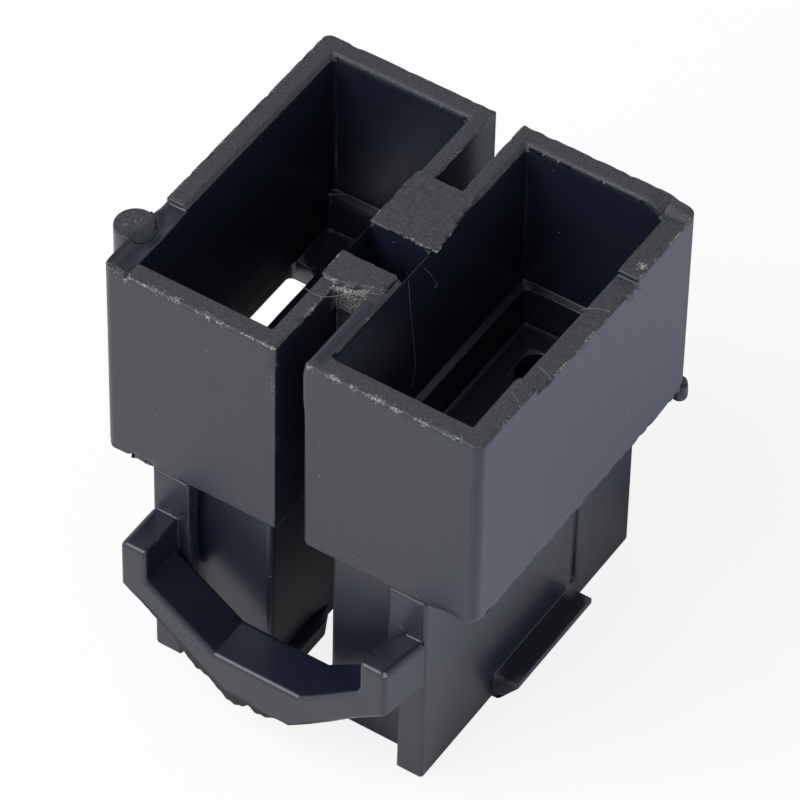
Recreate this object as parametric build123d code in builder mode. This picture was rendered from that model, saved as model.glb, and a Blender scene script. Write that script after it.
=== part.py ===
from build123d import *
import os

# Two-cell connector housing: one black plastic moulding, in millimetres
# X = 0 is the mirror plane, Y = 0 the middle of the depth, Z = 0 the foot of the plug body
# The cells open upward along +Z, the plug body points down, the yoke is on the -Y side

# Upper block
block_width = 25.0
block_depth = 22.5
block_height = 14.8
front_corner_radius = 0.6
back_corner_radius = 0.55
skirt_radius = 0.2

# Cells
side_wall = 1.4
end_wall = 1.4
slot_wall = 1.1
floor_thickness = 1.6
cell_draft = 1.4
mouth_chamfer = 0.25
ledge_depth = 10.4
ledge_width = 0.55
core_radius = 0.3

# Slot and webs between the cells
slot_width = 1.8
front_slot_length = 6.1
front_web_length = 2.25
channel_width = 2.7
back_web_length = 4.9
web_rise = 0.2
slot_corner_radius = 0.4

# Plug body
body_width = 18.66
body_height = 15.3
plate_thickness = 1.75
foot_radius = 0.4
plate_edge_radius = 0.25
strip_width = 2.53
strip_thickness = 1.0
strip_height = 8.2
chamber_gap = 4.1
chamber_setback = 1.35
chamber_wall = 1.1
chamber_corner_radius = 0.35
foot_lip = 0.6
foot_lip_height = 1.3
foot_lip_run_out = 1.2

# Terminal window in each cell floor
window_width = 3.2
window_length = 2.6
window_radius = 1.2
window_margin = 0.1
window_y = 6.2

# Latches, the floor slits that let their mould cores out, and the relief grooves
latch_front = -3.6
latch_length = 8.15
latch_reach = 1.6
latch_shoulder = 2.1
latch_lip = 0.4
latch_foot = 0.3
slit_clearance = 0.37
slit_run_out = 1.1
slit_radius = 0.4
groove_gap = 0.1
groove_radius = 0.28

# Yoke across the front of the plug body
yoke_reach = 3.3
yoke_arm_top = 12.1
yoke_outer_elbow = 8.5
yoke_inner_elbow = 9.6
yoke_bottom = 3.15
yoke_bar_thickness = 3.25
yoke_bottom_width = 4.3
yoke_bar_top_width = 5.8
yoke_edge_radius = 0.3
yoke_back_radius = 0.5
yoke_arm_radius = 0.45
yoke_worn_corner_radius = 1.2

# Key post on the left wall
post_radius = 1.25
post_reach = 1.55
post_y = -7.55
post_drop = 0.05
post_edge_radius = 0.1

# Worn places: low rims on both side walls, a rubbed slot wall, torn web tops and the gate stub
left_step_drop = 0.3
left_step_length = 6.3
right_step_front = -5.45
right_step_length = 10.45
right_step_front_drop = 0.7
right_step_back_drop = 1.0
right_rim_drop = 0.65
right_rim_run = 1.05
rubbed_edge_radius = 0.45
torn_lip = 0.5
torn_side = 0.3
torn_front = 0.9
stub_radius = 0.5
stub_rise = 0.5
stub_drop = 1.0
stub_inset_x = 0.3
stub_inset_y = 0.15
stub_edge_radius = 0.3

# Worked out from the sizes above
rim = body_height + block_height
cell_floor = body_height + floor_thickness
front = -block_depth / 2
back = block_depth / 2
body_side = body_width / 2
plate_inner = body_side - plate_thickness
cell_inner = slot_width / 2 + slot_wall
cell_outer = block_width / 2 - side_wall
cell_width = cell_outer - cell_inner
cell_length = block_depth - 2 * end_wall
cell_x = (cell_inner + cell_outer) / 2
front_web = front + front_slot_length
channel_front = front_web + front_web_length
back_web = channel_front + channel_width
back_slot = back_web + back_web_length
chamber_front = front + chamber_setback
chamber_inner = chamber_gap / 2
hollow_inner = chamber_inner + chamber_wall
window_x = plate_inner - window_margin - window_width / 2
slit_outer = body_side + latch_reach + slit_clearance
slit_length = latch_length + slit_run_out
worn_width = side_wall + mouth_chamfer
right_step_back = right_step_front + right_step_length

# Space of the right cell: drafted walls, a ledge, then the straight pocket down to the floor
with BuildPart() as cell_core:
    with BuildSketch(Plane.XY.offset(rim)):
        with Locations((cell_x, 0)):
            Rectangle(cell_width, cell_length)
    extrude(amount=-ledge_depth, taper=cell_draft)
    ledge_box = cell_core.faces().sort_by(Axis.Z)[0].bounding_box()
    fillet(cell_core.edges().filter_by(lambda edge: abs(edge.tangent_at(0.5).Z) > 0.9), core_radius)
    with BuildSketch(Plane.XY.offset(cell_floor)) as pocket_plan:
        with Locations((ledge_box.max.X, 0)):
            Rectangle(
                ledge_box.size.X - ledge_width,
                ledge_box.size.Y - 2 * ledge_width,
                align=(Align.MAX, Align.CENTER),
            )
        fillet(pocket_plan.vertices(), core_radius)
    extrude(amount=rim - ledge_depth - cell_floor)
    with BuildSketch(Plane.XY.offset(rim)):
        with Locations((cell_x, 0)):
            Rectangle(cell_width + 2 * mouth_chamfer, cell_length + 2 * mouth_chamfer)
    extrude(amount=-mouth_chamfer, taper=45)

# Openings in the right cell's floor: the slit over the latch and the terminal window
with BuildPart() as floor_openings:
    with BuildSketch(Plane.XY.offset(body_height)):
        with Locations((body_side, latch_front)):
            Rectangle(slit_outer - body_side, slit_length, align=(Align.MIN, Align.MIN))
    extrude(amount=floor_thickness)
    slit_ends = floor_openings.edges().filter_by(Axis.Z)
    fillet(slit_ends.group_by(Axis.Y)[-1], slit_radius)
    with BuildSketch(Plane.XY.offset(body_height)):
        with Locations((window_x, window_y)):
            RectangleRounded(window_width, window_length, window_radius)
    extrude(amount=floor_thickness)

# Right half of the plug body: side plate, corner strips, the hollow chamber and its foot lip
with BuildPart() as body_half:
    with BuildSketch(Plane.XY):
        with Locations((plate_inner, 0)):
            Rectangle(plate_thickness, block_depth, align=(Align.MIN, Align.CENTER))
    extrude(amount=body_height)
    with BuildSketch(Plane.XY.offset(body_height)):
        with Locations((body_side, 0)):
            with GridLocations(0, block_depth - strip_thickness, 1, 2):
                Rectangle(strip_width, strip_thickness, align=(Align.MAX, Align.CENTER))
    extrude(amount=-strip_height)
    plate_foot = body_half.faces().sort_by(Axis.Z)[0]
    fillet(plate_foot.outer_wire().edges().sort_by(Axis.X)[1:], foot_radius)
    fillet(body_half.edges().filter_by(Axis.Z).group_by(Axis.X)[-1], plate_edge_radius)
    with BuildSketch(Plane.XY) as chamber_plan:
        with Locations((chamber_inner, 0)):
            Rectangle(
                plate_inner - chamber_inner,
                block_depth - 2 * chamber_setback,
                align=(Align.MIN, Align.CENTER),
            )
        fillet(chamber_plan.vertices().group_by(Axis.X)[0], chamber_corner_radius)
        with Locations((hollow_inner, 0)):
            Rectangle(
                plate_inner - hollow_inner,
                block_depth - 2 * (chamber_setback + chamber_wall),
                align=(Align.MIN, Align.CENTER),
                mode=Mode.SUBTRACT,
            )
    extrude(amount=body_height)
    chamber_foot = body_half.edges().filter_by(Axis.X).group_by(Axis.Z)[0]
    fillet(chamber_foot.filter_by_position(Axis.Y, chamber_front, -chamber_front), foot_radius)
    with BuildSketch(Plane.XY):
        with BuildLine():
            Polyline(
                (chamber_inner - foot_lip, chamber_front + chamber_corner_radius),
                (chamber_inner - foot_lip, front_web),
                (chamber_inner, front_web + foot_lip_run_out),
                (hollow_inner, front_web + foot_lip_run_out),
                (hollow_inner, chamber_front + chamber_corner_radius),
                close=True,
            )
        make_face()
    extrude(amount=foot_lip_height)

# Right latch: a square shoulder that looks up and a ramp below it
with BuildPart() as latch:
    with BuildSketch(Plane.XZ.offset(-latch_front)):
        with BuildLine():
            Polyline(
                (body_side + latch_reach, latch_shoulder),
                (body_side + latch_reach, latch_shoulder - latch_lip),
                (body_side + latch_foot, 0),
                (body_side - foot_radius, 0),
                (body_side - foot_radius, latch_shoulder),
                close=True,
            )
        make_face()
    extrude(amount=-latch_length)

# Yoke: a U-shaped bar that stands free of the chambers and is carried by the two side plates
with BuildPart() as yoke:
    with BuildSketch(Plane.XZ.offset(-front)):
        with BuildLine() as yoke_half:
            Polyline(
                (0, yoke_bottom),
                (yoke_bottom_width / 2, yoke_bottom),
                (body_side, yoke_outer_elbow),
                (body_side, yoke_arm_top),
                (plate_inner, yoke_arm_top),
                (plate_inner, yoke_inner_elbow),
                (yoke_bar_top_width / 2, yoke_bottom + yoke_bar_thickness),
                (0, yoke_bottom + yoke_bar_thickness),
            )
            mirror(about=Plane.YZ)
        make_face()
    extrude(amount=yoke_reach)
    along_bar = yoke.edges().filter_by(Axis.Y)
    worn_corner = along_bar.filter_by_position(Axis.Z, yoke_inner_elbow, yoke_inner_elbow)
    fillet(worn_corner.sort_by(Axis.X)[-1], yoke_worn_corner_radius)
    arm_tops = yoke.edges().filter_by(Axis.Y).group_by(Axis.Z)[-1].sort_by(Axis.X)
    fillet([arm_tops[0], arm_tops[-1]], yoke_arm_radius)
    fillet(yoke.faces().sort_by(Axis.Y)[0].outer_wire().edges(), yoke_edge_radius)
    bar_back = yoke.faces().sort_by(Axis.Y)[-1].edges().filter_by_position(
        Axis.Z, yoke_bottom + yoke_bar_thickness, yoke_inner_elbow
    )
    fillet(bar_back.filter_by_position(Axis.X, -plate_inner, plate_inner), yoke_back_radius)

# Key post: a round bar that is sunk into the left wall and keys the housing in its frame
with BuildPart() as key_post:
    with BuildSketch(Plane.XY.offset(body_height)):
        with Locations((-block_width / 2 - post_reach + post_radius, post_y)):
            Circle(post_radius)
    extrude(amount=block_height - post_drop)
    fillet(key_post.faces().sort_by(Axis.Z)[-1].edges(), post_edge_radius)

# Gate stub: the rest of the sprue under the back right corner
with BuildPart() as gate_stub:
    with BuildSketch(Plane.XY.offset(body_height + stub_rise)):
        with Locations((block_width / 2 - stub_inset_x, back - stub_inset_y)):
            Circle(stub_radius)
    extrude(amount=-(stub_rise + stub_drop))
    fillet(gate_stub.edges().filter_by(GeomType.CIRCLE), stub_edge_radius)

# The whole moulding
with BuildPart() as housing:
    with BuildSketch(Plane.XY.offset(body_height)):
        Rectangle(block_width, block_depth)
    extrude(amount=block_height)
    corners = housing.edges().filter_by(Axis.Z)
    fillet(corners.group_by(Axis.Y)[0], front_corner_radius)
    fillet(corners.group_by(Axis.Y)[-1], back_corner_radius)
    fillet(housing.faces().sort_by(Axis.Z)[0].outer_wire().edges(), skirt_radius)

    # Two slots from the ends, cut right through the block, and the channel between the webs
    with BuildSketch(Plane.XY.offset(rim)):
        with Locations((0, front)):
            Rectangle(slot_width, front_slot_length, align=(Align.CENTER, Align.MIN))
        with Locations((0, back_slot)):
            Rectangle(slot_width, back - back_slot, align=(Align.CENTER, Align.MIN))
    extrude(amount=-block_height, mode=Mode.SUBTRACT)
    slot_mouth = housing.edges().filter_by(Axis.Y).group_by(Axis.Z)[0]
    fillet(slot_mouth.filter_by_position(Axis.X, 0, slot_width).sort_by(Axis.Y)[0], slot_corner_radius)
    with BuildSketch(Plane.XY.offset(rim)):
        with Locations((0, channel_front)):
            Rectangle(2 * cell_inner, channel_width, align=(Align.CENTER, Align.MIN))
    extrude(amount=cell_floor - rim, mode=Mode.SUBTRACT)

    # Cells with their floor openings
    add(cell_core.part, mode=Mode.SUBTRACT)
    mirror(cell_core.part, about=Plane.YZ, mode=Mode.SUBTRACT)
    add(floor_openings.part, mode=Mode.SUBTRACT)
    mirror(floor_openings.part, about=Plane.YZ, mode=Mode.SUBTRACT)

    # The right cell's slot wall is rubbed round along the front slot
    with BuildSketch(Plane.XZ.offset(-front)):
        with Locations((slot_width / 2, rim)):
            Rectangle(rubbed_edge_radius, rubbed_edge_radius, align=(Align.MIN, Align.MAX))
        with Locations((slot_width / 2 + rubbed_edge_radius, rim - rubbed_edge_radius)):
            Circle(rubbed_edge_radius, mode=Mode.SUBTRACT)
    extrude(amount=-front_slot_length, mode=Mode.SUBTRACT)

    # Web tops, a little proud of the rim
    with BuildSketch(Plane.XY.offset(rim)):
        with BuildLine():
            Polyline(
                (-cell_inner, front_web),
                (-slot_width / 2, front_web),
                (cell_inner - torn_side, front_web + torn_front),
                (cell_inner - torn_side, channel_front),
                (-cell_inner, channel_front),
                close=True,
            )
        make_face()
        with BuildLine():
            Polyline(
                (-cell_inner, back_web),
                (cell_inner + torn_lip, back_web),
                (cell_inner, back_slot),
                (-cell_inner, back_slot),
                close=True,
            )
        make_face()
    extrude(amount=web_rise)

    # Low stretches of the side walls' rims
    with BuildSketch(Plane.XY.offset(rim)):
        with Locations((-block_width / 2, front)):
            Rectangle(worn_width, left_step_length, align=(Align.MIN, Align.MIN))
    extrude(amount=-left_step_drop, mode=Mode.SUBTRACT)
    with BuildSketch(Plane.YZ.offset(block_width / 2)):
        with BuildLine():
            Polyline(
                (right_step_front, rim),
                (right_step_front, rim - right_step_front_drop),
                (right_step_back, rim - right_step_back_drop),
                (right_step_back, rim - right_rim_drop),
                (back - right_rim_run, rim - right_rim_drop),
                (back, rim),
                close=True,
            )
        make_face()
    extrude(amount=-worn_width, mode=Mode.SUBTRACT)

    # Plug body
    add(body_half.part)
    mirror(body_half.part, about=Plane.YZ)
    add(latch.part)
    mirror(latch.part, about=Plane.YZ)
    add(yoke.part)

    # Round relief grooves behind the latches
    with BuildSketch(Plane.XY.offset(body_height)):
        with Locations((body_side, latch_front + latch_length + groove_gap + groove_radius)):
            Circle(groove_radius)
        mirror(about=Plane.YZ)
    extrude(amount=latch_shoulder - body_height, mode=Mode.SUBTRACT)

    # Key post and gate stub
    add(key_post.part)
    add(gate_stub.part)

housing.part.label = "housing"

os.makedirs("parts", exist_ok=True)
export_step(housing.part, "parts/housing.step")
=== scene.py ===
import math

import bmesh
import bpy
from mathutils import Matrix, Vector, noise
from mathutils.bvhtree import BVHTree


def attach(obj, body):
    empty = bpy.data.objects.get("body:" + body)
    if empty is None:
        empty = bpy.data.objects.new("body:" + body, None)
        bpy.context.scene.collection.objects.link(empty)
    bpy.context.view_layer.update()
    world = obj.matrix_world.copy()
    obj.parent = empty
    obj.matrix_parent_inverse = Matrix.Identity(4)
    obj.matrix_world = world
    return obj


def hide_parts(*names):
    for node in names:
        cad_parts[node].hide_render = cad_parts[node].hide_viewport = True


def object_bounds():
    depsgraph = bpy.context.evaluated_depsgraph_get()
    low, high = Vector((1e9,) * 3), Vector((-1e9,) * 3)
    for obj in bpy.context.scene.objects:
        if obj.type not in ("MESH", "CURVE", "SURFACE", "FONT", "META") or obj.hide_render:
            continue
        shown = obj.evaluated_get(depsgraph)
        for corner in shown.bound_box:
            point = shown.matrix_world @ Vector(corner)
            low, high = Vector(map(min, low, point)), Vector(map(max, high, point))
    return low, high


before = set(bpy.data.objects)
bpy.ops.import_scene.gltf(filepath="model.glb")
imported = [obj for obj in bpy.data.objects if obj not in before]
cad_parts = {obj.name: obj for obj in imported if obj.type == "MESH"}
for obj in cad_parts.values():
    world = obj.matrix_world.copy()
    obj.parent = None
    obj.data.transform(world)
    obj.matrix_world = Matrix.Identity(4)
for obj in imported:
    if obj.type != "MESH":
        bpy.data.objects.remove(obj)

cad_low, cad_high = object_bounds()
MM = 0.001


# The housing. One injection moulding in black glass-filled nylon: block, webs, plug body,
# latches, yoke and key post run into one another. Its edges are broken a little by the mould
# and by use, and its rims, webs and yoke carry torn and rubbed places.

# Places on the moulding in millimetres, and the rise of the yoke's underside per millimetre
RIM = 30.1
RIMS_FROM = RIM - 1.2
LOW_LEFT_RIM = RIM - 0.3
BLOCK_FOOT = 15.3
BLOCK_SIDE = 12.5
BLOCK_FRONT = -11.25
BLOCK_BACK = 11.25
BACK_WALL = 1.05
YOKE_REACH = 3.3
YOKE_BOTTOM = 3.15
YOKE_FLAT = 2.15
YOKE_SLOPE = 0.745
# How deep wear and moulding faults go, in millimetres
EDGE_BREAK = 0.07
EDGE_RUB = 0.012
RIM_CHIP = 0.07
SCUFF_DEPTH = 0.05
WEB_CHIP = 0.08
WEB_LEAN = 0.26
RIGHT_RIM_DROP = 0.65
CORNER_DROP = 0.3
SLOT_SWELL = 0.14
ARM_LEAN = 0.58
YOKE_ROUNDING = 0.6
# Edges sharper than the first angle are broken, and faces that meet below the second are joined
SHARP_EDGE = math.radians(50)
FLAT_EDGE = math.radians(0.4)
# Points nearer than this are one, and a bevelled corner may stand off the moulding by this much
SAME_POINT = 0.0005
OVERSHOOT = 0.03
# The coarse grid's step, and a grid's first cut in steps, off the places of the part's own edges
WALL_STEP = 1.0
GRID_START = (0.47, 0.39, 0.56)
# Worst worn places of the front rims: centre across the front and half width
FRONT_SCUFFS = (
    (-12.0, 0.7), (-8.7, 0.6), (-7.7, 0.5), (-5.6, 0.4), (-4.5, 0.25), (-1.1, 0.25),
    (1.3, 0.4), (3.0, 0.4), (4.2, 0.3), (5.7, 0.6), (7.1, 0.4), (8.7, 0.4), (11.0, 0.3),
)
# Single worn spots: centre and reach
WORN_SPOTS = (
    ((12.1, 6.0, 29.45), 0.5), ((-2.0, 0.7, 30.3), 0.25), ((2.2, 4.55, 30.3), 0.25),
    ((1.65, -4.5, 30.3), 0.25), ((9.3, -14.4, 12.0), 0.35),
)

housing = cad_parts["housing"].copy()
housing.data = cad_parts["housing"].data.copy()
housing.name = "moulded_housing"
housing.parent = None
bpy.context.scene.collection.objects.link(housing)

# The mesh is worked in millimetres and goes back to metres at the end
shell = bmesh.new()
shell.from_mesh(housing.data)
strip_layer = shell.faces.layers.int.new("edge_strip")
wear_layer = shell.verts.layers.float.new("wear")
rub_layer = shell.verts.layers.float.new("rub")
torn_flash_shade_layer = shell.verts.layers.float.new("torn_flash_shade")
bmesh.ops.scale(shell, vec=(1 / MM,) * 3, verts=shell.verts)
bmesh.ops.remove_doubles(shell, verts=shell.verts, dist=SAME_POINT)
bmesh.ops.dissolve_limit(shell, angle_limit=FLAT_EDGE, verts=shell.verts, edges=shell.edges)
moulding = BVHTree.FromBMesh(shell)
sharp = [e for e in shell.edges if len(e.link_faces) == 2 and e.calc_face_angle() > SHARP_EDGE]
broken = bmesh.ops.bevel(
    shell, geom=sharp, offset=EDGE_BREAK, segments=1, affect="EDGES", clamp_overlap=False
)
for face in broken["faces"]:
    face[strip_layer] = 1
# Where a bevelled corner overshoots, it goes back onto the moulding
for vert in shell.verts:
    nearest, _, _, distance = moulding.find_nearest(vert.co)
    if distance > OVERSHOOT:
        vert.co = nearest


def cut_grid(mesh, step, low, high):
    """Cuts the faces that lie inside a box along planes one step apart."""
    low, high = Vector(low), Vector(high)
    inside = [
        f for f in mesh.faces
        if all(low[i] <= v.co[i] <= high[i] for v in f.verts for i in range(3))
    ]
    part = list({v for f in inside for v in f.verts})
    part += list({e for f in inside for e in f.edges}) + inside
    for axis in range(3):
        normal = Vector([float(axis == i) for i in range(3)])
        place = low[axis] + step * GRID_START[axis]
        while place < high[axis]:
            part = bmesh.ops.bisect_plane(
                mesh, geom=part, dist=0.0001, plane_co=normal * place, plane_no=normal
            )["geom"]
            place += step


# A coarse grid everywhere, then finer ones: rims, block foot in front and on the right, yoke,
# the yoke's lower half, the torn web's front, the tops of both webs
cut_grid(shell, WALL_STEP, (-14.3, -14.8, -0.5), (13.0, 12.2, 30.8))
for step, low, high in (
    (0.25, (-14.3, -11.5, 28.9), (12.8, 11.5, 30.8)),
    (0.3, (-12.7, -11.5, 15.1), (12.7, -10.2, 16.5)),
    (0.3, (11.0, -11.5, 15.1), (12.7, 11.9, 16.5)),
    (0.3, (-9.7, -14.8, 2.8), (9.7, -11.0, 12.3)),
    (0.15, (-8.6, -14.8, 2.8), (4.0, -12.9, 8.6)),
    (0.15, (-1.1, -5.6, 27.6), (1.1, -4.2, 30.2)),
    (0.15, (-2.5, -5.6, 29.7), (2.9, 5.2, 30.6)),
):
    cut_grid(shell, step, low, high)
shell.normal_update()


def fade(value, start, end):
    """Goes smoothly from 0 at start to 1 at end."""
    t = min(max((value - start) / (end - start), 0.0), 1.0)
    return t * t * (3 - 2 * t)


def lumps(place, grain, seed):
    """A smooth random number from -1 to 1 whose lumps are one grain across."""
    return 1.6 * noise.noise(place / grain + Vector((seed, 2.0 * seed, 3.0 * seed)))


def keep_in_box(points):
    """Puts the points that stick out of the part's own box back onto it."""
    for point in points:
        point.co = [min(max(point.co[i], cad_low[i]), cad_high[i]) for i in range(3)]


# Each point gets a move and three values: wear for scuffs, rub for greyed rims, torn for dull
# flash darkened with painted shade. The numbers in each condition and in fade() are places on
# the part in millimetres
edge_verts = {v for f in shell.faces if f[strip_layer] for v in f.verts}
moves = {}
for vert in shell.verts:
    place, normal = vert.co, vert.normal
    x, y, z = place
    move = Vector((0.0, 0.0, 0.0))
    wear = rub = torn_flash_shade = 0.0
    outside = abs(x) > BLOCK_SIDE - 0.3 or abs(y) > BLOCK_BACK - 0.3
    on_web = z > RIM + 0.05 and abs(x) < 3.0
    low_left = -12.7 < x < -11.0 and y < -4.9 and RIM - 0.6 < z < RIM - 0.12
    if normal.z > 0.5 and z > RIMS_FROM and not low_left:
        # Rims and web tops are rubbed grey
        rub = 1.0
    if vert in edge_verts:
        # Rubbed edges: shallow everywhere, chipped and scuffed along the rims
        wear = 0.12
        move -= normal * EDGE_RUB * max(0.0, lumps(place, 1.4, 1))
        if z > RIMS_FROM and (outside or abs(x) < 1.2) and not low_left:
            wear = 0.28 + 0.3 * lumps(place, 1.6, 13) + 0.3 * lumps(place, 0.5, 14)
            move -= normal * RIM_CHIP * max(0.0, lumps(place, 0.6, 2))
        if y < BLOCK_FRONT - 0.5:
            wear = 0.15 + 0.2 * lumps(place, 0.8, 15)
        if abs(x) < 1.2 and y < BLOCK_FRONT + 0.3 and BLOCK_FOOT + 1 < z < RIMS_FROM:
            wear = 0.3 * lumps(place, 0.9, 17) + 0.25 * fade(z, 22, 29)
    if z > RIM - 0.5 and y < BLOCK_FRONT + 0.5:
        # The front rims are scuffed grey in places, more on the edge than beside it
        strength = max(1 - abs(x - centre) / width for centre, width in FRONT_SCUFFS)
        near_edge = 1 - fade(max(y - BLOCK_FRONT, RIM - z), 0.12, 0.5)
        scuff = fade(strength, -0.4, 0.5) * near_edge * (0.75 + 0.35 * lumps(place, 0.3, 18))
        wear = max(wear, 0.74 * scuff)
        move -= normal * SCUFF_DEPTH * scuff * max(0.0, 0.3 + lumps(place, 0.35, 19))
    if BLOCK_FOOT - 0.1 < z < BLOCK_FOOT + 0.45 and outside:
        # Ragged flash line round the foot of the block
        frayed = 0.03 + 0.12 * fade(-x, 8.8, 9.8) + 0.08 * fade(x, 11.8, 12.3)
        move -= normal * frayed * max(0.0, lumps(place, 0.5, 3) + 0.2)
        if y < BLOCK_FRONT + 0.6 and x > 9.4:
            # At the front right corner the line is worn back and up
            move += (
                Vector((0.0, 0.08, 0.2)) * fade(x, 9.4, 10.4) * (0.7 + 0.4 * lumps(place, 0.4, 4))
            )
    if 0.8 < x < 2.0 and -10.7 < y < -5.3 and z > RIMS_FROM:
        # The right block's slot wall has a smooth, rounded rim
        rub = 0.1
    if y > 9.7 and x > 9.6 and z > RIM - 0.8:
        # The back rim runs down into the worn right rim at the corner
        slope = RIM - RIGHT_RIM_DROP * min(max(BLOCK_BACK - y, 0.0) / BACK_WALL, 1.0)
        move.z -= max(0.0, z - slope) * fade(x, 9.9, 11.2)
        move.z -= (
            CORNER_DROP * fade(x, 10.4, 12.0) * fade(y, 10.5, 11.1) * fade(z, RIM - 0.5, RIM - 0.1)
        )
    if x < -11.0 and z > RIM - 0.6 and -11.4 < y < -4.9:
        # The left rim's low stretch is worn hollow: a lip stands along its outer edge, and the
        # hollow cuts off the key post's top where the post passes over the wall
        stretch = fade(y, -11.1, -10.5) * (1 - fade(y, -6.4, -5.4))
        lip = (0.3 - 0.1 * fade(y, -9.0, -8.3)) * (1 - fade(x, -12.5, -12.05))
        dip = 0.26 * fade(x, -12.4, -11.8) * (1 - 0.5 * fade(x, -11.5, -11.1))
        hollow = LOW_LEFT_RIM + stretch * (lip - dip)
        hollow += 0.03 * stretch * lumps(place, 0.7, 5)
        cut = -12.05 - 0.9 * fade(-y, 7.5, 8.6) - 0.15 * fade(y, -7.0, -6.1)
        cut += 0.05 * lumps(place, 0.5, 20)
        if low_left and x > -12.6:
            # The front rim runs on to the corner at full height
            corner = 1 - fade(y, -10.95, -10.55)
            move.z += (hollow - LOW_LEFT_RIM) * (1 - corner) + min(0.3, RIM - z) * corner
            rub = corner
            wear = 0.3 * corner
        elif z > RIM - 0.28 and y < -5.6:
            move.z += (hollow - z) * fade(x, cut - 0.06, cut + 0.06)
            rub = 1 - fade(x, cut, cut + 0.1)
            # One scratch runs aslant over what is left of the post's top
            scratch = abs(x + 12.72 - 0.62 * (y + 7.1))
            wear = 0.5 * (1 - fade(scratch, 0.05, 0.14)) + 0.12 * lumps(place, 0.3, 21)
    if 0.7 < x < 1.7 and y < -10.3 and z > 24:
        # The right block's slot edge swells towards the slot
        move.x -= (
            SLOT_SWELL * fade(z, 25.5, 27.5) * (1 - fade(z, 29.0, 29.9)) * (1 - fade(x, 0.9, 1.7))
        )
    if abs(x) < 1.02 and -5.5 < y < -4.4 and 27.8 < z < 30.25:
        # Torn front of the front web: it leans out under its top
        lean = fade(z, 28.0, 30.2)
        move += Vector((0.0, -WEB_LEAN * lean, 0.0)) * (1 - fade(x, 0.3, 1.0))
        move += normal * 0.05 * lumps(place, 0.35, 6)
        wear = max(wear, 0.66 * fade(z, 27.9, 28.4))
    if on_web:
        # Torn tops of the webs
        move.z += 0.02 * lumps(place, 0.6, 7) + 0.012 * lumps(place, 0.25, 8)
        if vert in edge_verts:
            move -= normal * WEB_CHIP * max(0.0, lumps(place, 0.4, 9))
            wear = 0.3 + 0.45 * lumps(place, 0.5, 16)
        if x > 1.6 and y > -0.5:
            # Bites out of the back web's right side
            move.x -= 0.26 * max(0.0, lumps(Vector((0.0, y, 0.0)), 0.45, 10)) * fade(x, 1.6, 2.1)
    if y < BLOCK_FRONT:
        # The yoke's right arm leans inwards
        move.x -= ARM_LEAN * (BLOCK_FRONT - y) / YOKE_REACH * fade(x, 3.0, 7.8)
        underside = YOKE_BOTTOM + YOKE_SLOPE * max(0.0, abs(x) - YOKE_FLAT)
        above, behind = z - underside, y - (BLOCK_FRONT - YOKE_REACH)
        band = (1 - fade(x, 3.5, 6.0)) * (1 - fade(-x, 7.6, 8.6))
        # Its lower front edge is rounded, the round's centre one radius in from both faces
        inward = Vector((YOKE_ROUNDING - behind, YOKE_ROUNDING - above))
        if min(inward) > 0 and inward.length > YOKE_ROUNDING:
            pulled = inward * (1 - YOKE_ROUNDING / inward.length) * band
            move += Vector((0.0, pulled.x, pulled.y))
            behind, above = behind + pulled.x, above + pulled.y
        if above < 0.4 and behind < 1.3:
            # Torn flash hangs from the round, longest on the left slope and under the middle
            along_bar = Vector((x, 0.0, 0.0))
            length = 0.06 + 0.5 * fade(-x, -1.4, 0.4) * (1 - 0.6 * fade(-x, 5.0, 7.5))
            length *= 1 + 0.5 * lumps(along_bar, 1.3, 11) + 0.25 * lumps(along_bar, 0.45, 12)
            hung = fade(behind, 0.0, 0.3) * (1 - fade(behind, 0.5, 1.3))
            hung *= 1 - fade(above, 0.15, 0.4)
            move.z -= length * band * hung
        # The dull band on the yoke's front, darkened with painted shade, reaches higher left of the
        # middle
        above -= 0.2 * fade(-x, -0.5, 1.0)
        torn_flash_shade = band * (1 - fade(above, 0.25, 0.6)) * (1 - fade(behind, 1.2, 2.0))
    for centre, reach in WORN_SPOTS:
        wear = max(wear, 0.8 * (1 - fade((place - Vector(centre)).length, 0.3 * reach, reach)))
    vert[wear_layer] = min(max(wear, 0.0), 1.0)
    vert[rub_layer] = rub
    vert[torn_flash_shade_layer] = torn_flash_shade
    moves[vert] = move
for vert, move in moves.items():
    vert.co += move
bmesh.ops.dissolve_degenerate(shell, edges=shell.edges, dist=SAME_POINT)
bmesh.ops.scale(shell, vec=(MM,) * 3, verts=shell.verts)
keep_in_box(shell.verts)
shell.to_mesh(housing.data)
shell.free()


def linear(hex_colour):
    """An sRGB hex colour as the linear colour that a shader takes."""
    parts = [int(hex_colour[i:i + 2], 16) / 255 for i in (1, 3, 5)]
    colour = [c / 12.92 if c <= 0.04045 else ((c + 0.055) / 1.055) ** 2.4 for c in parts]
    return (*colour, 1.0)


def empty_tree(owner):
    """Gives a material or a world an empty node tree."""
    owner.use_nodes = True
    owner.node_tree.nodes.clear()
    return owner.node_tree


def add_node(tree, kind, inputs=None, links=None, **settings):
    """Adds one node with its settings, its input values and the sockets that feed it."""
    made = tree.nodes.new(kind)
    for name, value in settings.items():
        setattr(made, name, value)
    for key, value in (inputs or {}).items():
        made.inputs[key].default_value = value
    for key, source in (links or {}).items():
        tree.links.new(source, made.inputs[key])
    return made


# Black glass-filled nylon as moulded: a satin skin with faint draw lines down the opening
# direction. Where it is rubbed its glass fibres grey it, and scuffs are pale and granular
nylon = bpy.data.materials.new("nylon_black_moulded")
tree = empty_tree(nylon)
place = add_node(tree, "ShaderNodeTexCoord").outputs["Object"]
worn = add_node(tree, "ShaderNodeAttribute", attribute_name="wear").outputs["Fac"]
rubbed = add_node(tree, "ShaderNodeAttribute", attribute_name="rub").outputs["Fac"]
# The torn attribute carries the dull flash and the painted shade on the yoke's lower front
dulled_and_shaded = add_node(tree, "ShaderNodeAttribute", attribute_name="torn_flash_shade").outputs["Fac"]
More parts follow.
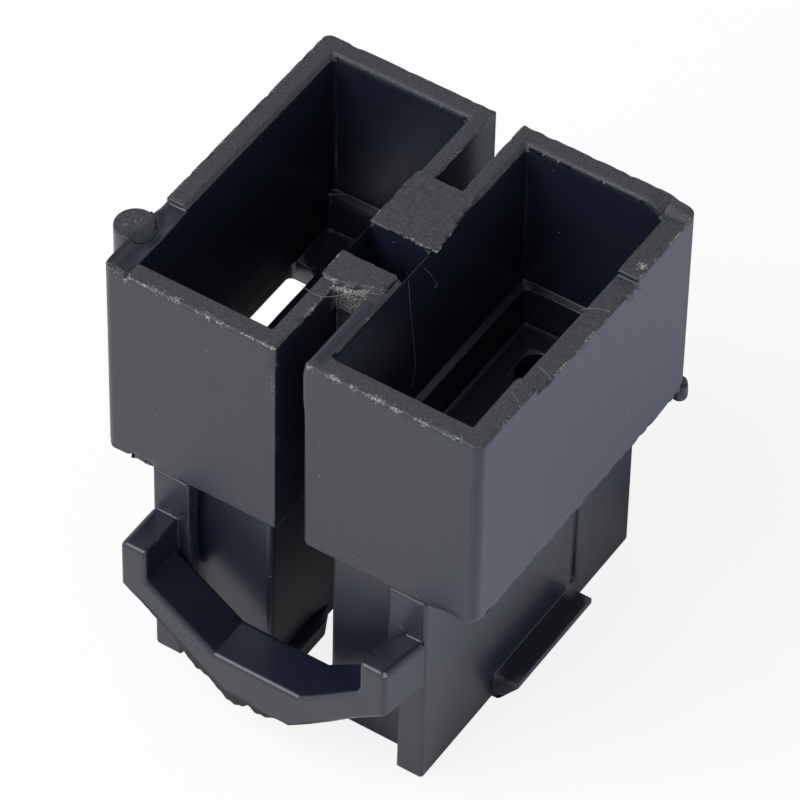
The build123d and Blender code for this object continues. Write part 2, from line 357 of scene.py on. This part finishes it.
# Draw lines: their spacing to both sides and their length
DRAW_LINES = (0.16 * MM, 0.16 * MM, 8 * MM)
DRAW_LINE_DEPTH = 0.004 * MM
stretched = add_node(
    tree, "ShaderNodeMapping", {"Scale": tuple(1 / size for size in DRAW_LINES)},
    {"Vector": place},
)
streaks = add_node(
    tree, "ShaderNodeTexNoise", {"Scale": 1.0, "Detail": 4.0, "Roughness": 0.6},
    {"Vector": stretched.outputs["Vector"]},
)
# Grain about as fine as the picture shows, with shallow pits in sound skin and deep ones in worn
GRAIN = 0.12 * MM
SHALLOW_PIT, DEEP_PIT = 0.0015 * MM, 0.03 * MM
grain = add_node(
    tree, "ShaderNodeTexNoise", {"Scale": 1 / GRAIN, "Detail": 3.0, "Roughness": 0.65},
    {"Vector": place},
)
MOTTLE = 3.5 * MM
mottle = add_node(
    tree, "ShaderNodeTexNoise", {"Scale": 1 / MOTTLE, "Detail": 3.0}, {"Vector": place}
)
moulded = add_node(
    tree, "ShaderNodeMix", {6: linear("#111627"), 7: linear("#1a1f2e")},
    {0: mottle.outputs["Fac"]}, data_type="RGBA",
)
# Rubbed rims are speckled grey
specks = add_node(
    tree, "ShaderNodeMapRange", {"From Min": 0.32, "From Max": 0.68},
    {"Value": grain.outputs["Fac"]},
)
grey = add_node(
    tree, "ShaderNodeMix", {6: linear("#0b0d12"), 7: linear("#3b3e47")},
    {0: specks.outputs["Result"]}, data_type="RGBA",
)
greyed = add_node(
    tree, "ShaderNodeMix", None, {0: rubbed, 6: moulded.outputs[2], 7: grey.outputs[2]},
    data_type="RGBA",
)
# Scuffs break up into pale flecks: the more wear, the more of the grain shows pale
flecks = add_node(
    tree, "ShaderNodeMapRange", {"From Min": 0.3, "From Max": 0.7, "To Min": -0.5, "To Max": 0.5},
    {"Value": grain.outputs["Fac"]},
)
ragged = add_node(
    tree, "ShaderNodeMath", None, {0: worn, 1: flecks.outputs["Result"]}, operation="ADD"
)
scuffed = add_node(
    tree, "ShaderNodeMapRange", {"From Min": 0.42, "From Max": 0.9}, {"Value": ragged.outputs[0]}
)
skin = add_node(
    tree, "ShaderNodeMix", {7: linear("#8b8982")},
    {0: scuffed.outputs["Result"], 6: greyed.outputs[2]}, data_type="RGBA",
)
# Rubbed and scuffed places are coarse, the rest is satin with faint draw lines
coarse = add_node(
    tree, "ShaderNodeMath", None, {0: rubbed, 1: scuffed.outputs["Result"]}, operation="MAXIMUM"
)
satin = add_node(
    tree, "ShaderNodeMapRange", {"From Min": 0.25, "From Max": 0.75, "To Min": 0.3, "To Max": 0.38},
    {"Value": streaks.outputs["Fac"]},
)
gloss = add_node(
    tree, "ShaderNodeMix", {3: 0.62}, {0: coarse.outputs[0], 2: satin.outputs["Result"]},
    data_type="FLOAT",
)
lines = add_node(
    tree, "ShaderNodeBump", {"Strength": 0.5, "Distance": DRAW_LINE_DEPTH},
    {"Height": streaks.outputs["Fac"]},
)
pit_depth = add_node(
    tree, "ShaderNodeMapRange", {"To Min": SHALLOW_PIT, "To Max": DEEP_PIT},
    {"Value": coarse.outputs[0]},
)
pits = add_node(
    tree, "ShaderNodeBump", {"Strength": 1.0},
    {
        "Height": grain.outputs["Fac"],
        "Distance": pit_depth.outputs["Result"],
        "Normal": lines.outputs["Normal"],
    },
)
# Torn flash is quite dull, and its colour is darkened with painted shade where the floor under the
# yoke lies in shadow
painted_flash_shade = add_node(
    tree, "ShaderNodeMix", {7: linear("#07080c")}, {0: dulled_and_shaded, 6: skin.outputs[2]},
    data_type="RGBA",
)
dull = add_node(
    tree, "ShaderNodeMix", {3: 0.9}, {0: dulled_and_shaded, 2: gloss.outputs[0]}, data_type="FLOAT"
)
surface = add_node(
    tree, "ShaderNodeBsdfPrincipled", {"IOR": 1.6},
    {
        "Base Color": painted_flash_shade.outputs[2],
        "Roughness": dull.outputs[0],
        "Normal": pits.outputs["Normal"],
    },
)
add_node(tree, "ShaderNodeOutputMaterial", links={"Surface": surface.outputs["BSDF"]})


def worked_out(source):
    """A mesh of the object with its modifiers carried out."""
    evaluated = source.evaluated_get(bpy.context.evaluated_depsgraph_get())
    return bpy.data.meshes.new_from_object(evaluated)


housing.data.materials.clear()
housing.data.materials.append(nylon)
# Normals weighed by area keep the walls flat beside their broken edges
housing.data.shade_smooth()
weigh = housing.modifiers.new("edge_normals", "WEIGHTED_NORMAL")
weigh.weight = 100
weigh.keep_sharp = False
finished = worked_out(housing)
housing.modifiers.clear()
housing.data = finished
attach(housing, "root")
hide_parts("housing")
print("housing triangles", sum(len(p.vertices) - 2 for p in housing.data.polygons))


# Crumbs and dust. Small pale crumbs of the same nylon cling to the scuffed edges and the torn
# web, and a little dust lies on every face. Both are scattered with a fixed seed.
scatter = bpy.data.node_groups.new("scatter_crumbs", "GeometryNodeTree")
scatter.interface.new_socket(name="Geometry", in_out="INPUT", socket_type="NodeSocketGeometry")
sockets = {
    name: scatter.interface.new_socket(name=name, in_out="INPUT", socket_type=kind).identifier
    for name, kind in (
        ("Crumbs per square metre", "NodeSocketFloat"),
        ("Crumb radius", "NodeSocketFloat"),
        ("Crumb finish", "NodeSocketMaterial"),
        ("Seed", "NodeSocketInt"),
    )
}
scatter.interface.new_socket(name="Geometry", in_out="OUTPUT", socket_type="NodeSocketGeometry")
given = add_node(scatter, "NodeGroupInput").outputs
points = add_node(
    scatter, "GeometryNodeDistributePointsOnFaces", None,
    {"Mesh": given["Geometry"], "Density": given["Crumbs per square metre"], "Seed": given["Seed"]},
)
crumb = add_node(
    scatter, "GeometryNodeMeshIcoSphere", {"Subdivisions": 1}, {"Radius": given["Crumb radius"]}
)
size = add_node(
    scatter, "FunctionNodeRandomValue", {2: 0.4, 3: 1.5}, {"Seed": given["Seed"]}, data_type="FLOAT"
)
placed = add_node(
    scatter, "GeometryNodeInstanceOnPoints", None,
    {
        "Points": points.outputs["Points"],
        "Instance": crumb.outputs["Mesh"],
        "Rotation": points.outputs["Rotation"],
        "Scale": size.outputs[1],
    },
)
real = add_node(scatter, "GeometryNodeRealizeInstances", None, {0: placed.outputs["Instances"]})
coated = add_node(
    scatter, "GeometryNodeSetMaterial", None,
    {"Geometry": real.outputs["Geometry"], "Material": given["Crumb finish"]},
)
add_node(scatter, "NodeGroupOutput", None, {"Geometry": coated.outputs["Geometry"]})

# Powdery nylon: pale, dull and a little uneven
powder = bpy.data.materials.new("nylon_powder")
tree = empty_tree(powder)
place = add_node(tree, "ShaderNodeTexCoord").outputs["Object"]
uneven = add_node(tree, "ShaderNodeTexNoise", {"Scale": 1 / (1.5 * MM)}, {"Vector": place})
skin = add_node(
    tree, "ShaderNodeMix", {6: linear("#6f6f6c"), 7: linear("#c9c7be")},
    {0: uneven.outputs["Fac"]}, data_type="RGBA",
)
surface = add_node(
    tree, "ShaderNodeBsdfPrincipled", {"Roughness": 0.8}, {"Base Color": skin.outputs[2]}
)
add_node(tree, "ShaderNodeOutputMaterial", links={"Surface": surface.outputs["BSDF"]})

# Name, least wear of the faces that carry it, number on a square millimetre, radius and seed
for name, least_wear, density, radius, seed in (
    ("edge_crumbs", 0.68, 10.0, 0.032, 4),
    ("face_dust", 0.0, 0.035, 0.022, 9),
):
    ground = bmesh.new()
    ground.from_mesh(housing.data)
    wear_on = ground.verts.layers.float["wear"]
    clean = [f for f in ground.faces if max(v[wear_on] for v in f.verts) < least_wear]
    bmesh.ops.delete(ground, geom=clean, context="FACES")
    carrier = bpy.data.meshes.new(name)
    ground.to_mesh(carrier)
    ground.free()
    crumbs = bpy.data.objects.new(name, carrier)
    bpy.context.scene.collection.objects.link(crumbs)
    spread = crumbs.modifiers.new("scatter", "NODES")
    spread.node_group = scatter
    spread[sockets["Crumbs per square metre"]] = density / MM ** 2
    spread[sockets["Crumb radius"]] = radius * MM
    spread[sockets["Crumb finish"]] = powder
    spread[sockets["Seed"]] = seed
    grains = worked_out(crumbs)
    crumbs.modifiers.clear()
    crumbs.data = grains
    keep_in_box(grains.vertices)
    print(name, "faces", len(grains.polygons))
    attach(crumbs, "root")


# Lint. A few textile hairs have caught on the torn web, on the right rim and in the right
# cell. Each is one thin, slack fibre.
LINT_RADIUS = 0.016 * MM
strands = bpy.data.curves.new("lint", "CURVE")
strands.dimensions = "3D"
strands.bevel_depth = LINT_RADIUS
strands.bevel_resolution = 1
strands.resolution_u = 6
for route in (
    (
        (-2.4, -6.4, 30.15), (-1.7, -6.6, 30.15), (-0.8, -6.55, 30.2), (0.0, -5.75, 30.25),
        (0.8, -5.0, 30.28), (1.7, -4.65, 30.28),
    ),
    ((10.97, 1.48, 29.2), (11.57, 1.98, 29.45), (12.42, 2.09, 29.35)),
    ((11.45, -3.7, 29.45), (12.0, -3.8, 29.5), (12.48, -4.09, 29.38)),
    ((11.55, -6.71, 30.12), (11.9, -6.85, 30.2), (12.27, -7.12, 30.12)),
    (
        (2.06, -2.43, 29.7), (2.1, -2.3, 28.1), (2.2, -2.0, 24.6), (2.26, -1.7, 22.3),
        (2.3, -2.14, 21.0),
    ),
    (
        (2.1, -0.88, 29.4), (2.15, -0.34, 28.6), (2.2, 0.2, 27.4), (2.25, 0.4, 27.0),
        (2.2, 0.0, 27.1),
    ),
):
    strand = strands.splines.new("NURBS")
    strand.points.add(len(route) - 1)
    for point, place in zip(strand.points, route):
        point.co = (*(Vector(place) * MM), 1.0)
    strand.order_u = 3
    strand.use_endpoint_u = True
hairs = bpy.data.objects.new("lint_hairs", strands)
bpy.context.scene.collection.objects.link(hairs)
lint = bpy.data.objects.new("lint", worked_out(hairs))
bpy.context.scene.collection.objects.link(lint)
bpy.data.objects.remove(hairs)

# Bleached cotton: pale and dull
cotton = bpy.data.materials.new("cotton_lint")
tree = empty_tree(cotton)
place = add_node(tree, "ShaderNodeTexCoord").outputs["Object"]
patchy = add_node(tree, "ShaderNodeTexNoise", {"Scale": 1 / (0.8 * MM)}, {"Vector": place})
skin = add_node(
    tree, "ShaderNodeMix", {6: linear("#4a4b50"), 7: linear("#8d8e92")},
    {0: patchy.outputs["Fac"]}, data_type="RGBA",
)
surface = add_node(
    tree, "ShaderNodeBsdfPrincipled", {"Roughness": 0.9}, {"Base Color": skin.outputs[2]}
)
add_node(tree, "ShaderNodeOutputMaterial", links={"Surface": surface.outputs["BSDF"]})
lint.data.materials.clear()
lint.data.materials.append(cotton)
lint.data.shade_smooth()
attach(lint, "root")


# Studio. A pale table top stands in a white room whose light falls off towards the ceiling, and
# one soft box lights the part from the front left. None of it belongs to the part.
bpy.ops.mesh.primitive_plane_add(size=4, location=(0, 0, 0))
table_top = bpy.context.object
table_top.name = "table_top"
paper = bpy.data.materials.new("paper_white_matt")
tree = empty_tree(paper)
ray = add_node(tree, "ShaderNodeLightPath")
# Mirrored, the sheet is bright only in front of the part and to its right, clear of its shade
place = add_node(tree, "ShaderNodeTexCoord").outputs["Object"]
spot = add_node(tree, "ShaderNodeSeparateXYZ", None, {0: place})
front = add_node(
    tree, "ShaderNodeMath", {1: -1.0}, {0: spot.outputs["Y"]}, operation="MULTIPLY"
)
outward = add_node(
    tree, "ShaderNodeMath", None, {0: spot.outputs["X"], 1: front.outputs[0]}, operation="MAXIMUM"
)
clear = add_node(
    tree, "ShaderNodeMapRange", {"From Min": 10 * MM, "From Max": 19 * MM, "To Max": 0.42},
    {"Value": outward.outputs[0]},
)
mirrored = add_node(
    tree, "ShaderNodeMath", None, {0: ray.outputs["Is Glossy Ray"], 1: clear.outputs["Result"]},
    operation="MULTIPLY",
)
# To the camera it is mostly plain white, and takes only a little of the part's shade
share = add_node(
    tree, "ShaderNodeMath", {1: 0.85}, {0: ray.outputs["Is Camera Ray"], 2: mirrored.outputs[0]},
    operation="MULTIPLY_ADD",
)
# Behind the part the sheet is painted dark where it is mirrored, a painted shade of the part, as in
# the slot between the blocks
painted_shade_back = add_node(
    tree, "ShaderNodeMapRange", {"From Min": 8 * MM, "From Max": 16 * MM},
    {"Value": spot.outputs["Y"]},
)
painted_shade_aside = add_node(
    tree, "ShaderNodeMapRange",
    {"From Min": 14 * MM, "From Max": 20 * MM, "To Min": 0.85, "To Max": 0.0},
    {"Value": spot.outputs["X"]},
)
painted_shade_behind = add_node(
    tree, "ShaderNodeMath", None, {0: painted_shade_back.outputs["Result"], 1: painted_shade_aside.outputs["Result"]},
    operation="MULTIPLY",
)
painted_shade_mirrored = add_node(
    tree, "ShaderNodeMath", None, {0: painted_shade_behind.outputs[0], 1: ray.outputs["Is Glossy Ray"]},
    operation="MULTIPLY",
)
sheet_with_painted_shade = add_node(
    tree, "ShaderNodeMix", {6: linear("#f4f4f4"), 7: linear("#1c1e22")}, {0: painted_shade_mirrored.outputs[0]},
    data_type="RGBA",
)
matt = add_node(tree, "ShaderNodeBsdfDiffuse", None, {"Color": sheet_with_painted_shade.outputs[2]})
# The right side of the sheet lies under a cooler light, seen only in reflections
side = add_node(
    tree, "ShaderNodeMapRange", {"From Min": 8 * MM, "From Max": 20 * MM},
    {"Value": spot.outputs["X"]},
)
cooled = add_node(
    tree, "ShaderNodeMath", None, {0: ray.outputs["Is Glossy Ray"], 1: side.outputs["Result"]},
    operation="MULTIPLY",
)
cool = add_node(
    tree, "ShaderNodeMix", {6: (1, 1, 1, 1), 7: (0.76, 0.94, 1.28, 1)}, {0: cooled.outputs[0]},
    data_type="RGBA",
)
glow = add_node(tree, "ShaderNodeEmission", {"Strength": 1.0}, {"Color": cool.outputs[2]})
both = add_node(
    tree, "ShaderNodeMixShader", None,
    {0: share.outputs[0], 1: matt.outputs[0], 2: glow.outputs[0]},
)
add_node(tree, "ShaderNodeOutputMaterial", links={"Surface": both.outputs[0]})
table_top.data.materials.append(paper)

# Seen directly the room is plain white, and as a light it falls off with height
room = bpy.data.worlds.new("white_room")
bpy.context.scene.world = room
tree = empty_tree(room)
ray = add_node(tree, "ShaderNodeLightPath")
heading = add_node(tree, "ShaderNodeTexCoord")
height = add_node(tree, "ShaderNodeSeparateXYZ", None, {0: heading.outputs["Generated"]})
falloff = add_node(
    tree, "ShaderNodeMapRange",
    {"From Min": 0.1, "From Max": 0.75, "To Min": 1.0, "To Max": 0.35},
    {"Value": height.outputs["Z"]},
)
level = add_node(
    tree, "ShaderNodeMath", None,
    {0: ray.outputs["Is Camera Ray"], 1: falloff.outputs["Result"]}, operation="MAXIMUM",
)
light = add_node(
    tree, "ShaderNodeBackground", {"Color": (1, 1, 1, 1)}, {"Strength": level.outputs[0]},
)
add_node(tree, "ShaderNodeOutputWorld", links={"Surface": light.outputs[0]})

# A square soft box, 0.4 m wide and 0.53 m from the part
lamp = bpy.data.lights.new("front_softbox", "AREA")
lamp.shape = "SQUARE"
lamp.size = 0.4
lamp.energy = 2.35
softbox = bpy.data.objects.new("front_softbox", lamp)
softbox.location = (-0.18, -0.3, 0.4)
softbox.rotation_mode = "QUATERNION"
softbox.rotation_quaternion = (-softbox.location).to_track_quat("-Z", "Y")
bpy.context.scene.collection.objects.link(softbox)


# Camera. A long lens above the front right corner, tipped a little, as in the photograph. Its
# place and direction were fitted to the straight edges of the block.
camera_right = Vector((0.835764, 0.548874, 0.015386))
camera_forward = Vector((-0.364664, 0.575783, -0.731774)).normalized()
camera_up = camera_right.cross(camera_forward).normalized()
camera_right = camera_forward.cross(camera_up)
lens = bpy.data.cameras.new("photo_camera")
lens.sensor_width = 36
lens.lens = 287.40
lens.clip_start = 0.01
lens.clip_end = 10
photo_camera = bpy.data.objects.new("photo_camera", lens)
photo_camera.matrix_world = Matrix.Translation(
    Vector((133.442, -210.465, 284.169)) * MM
) @ Matrix((camera_right, camera_up, -camera_forward)).transposed().to_4x4()
bpy.context.scene.collection.objects.link(photo_camera)
bpy.context.scene.camera = photo_camera
bpy.context.scene.view_settings.view_transform = "Standard"
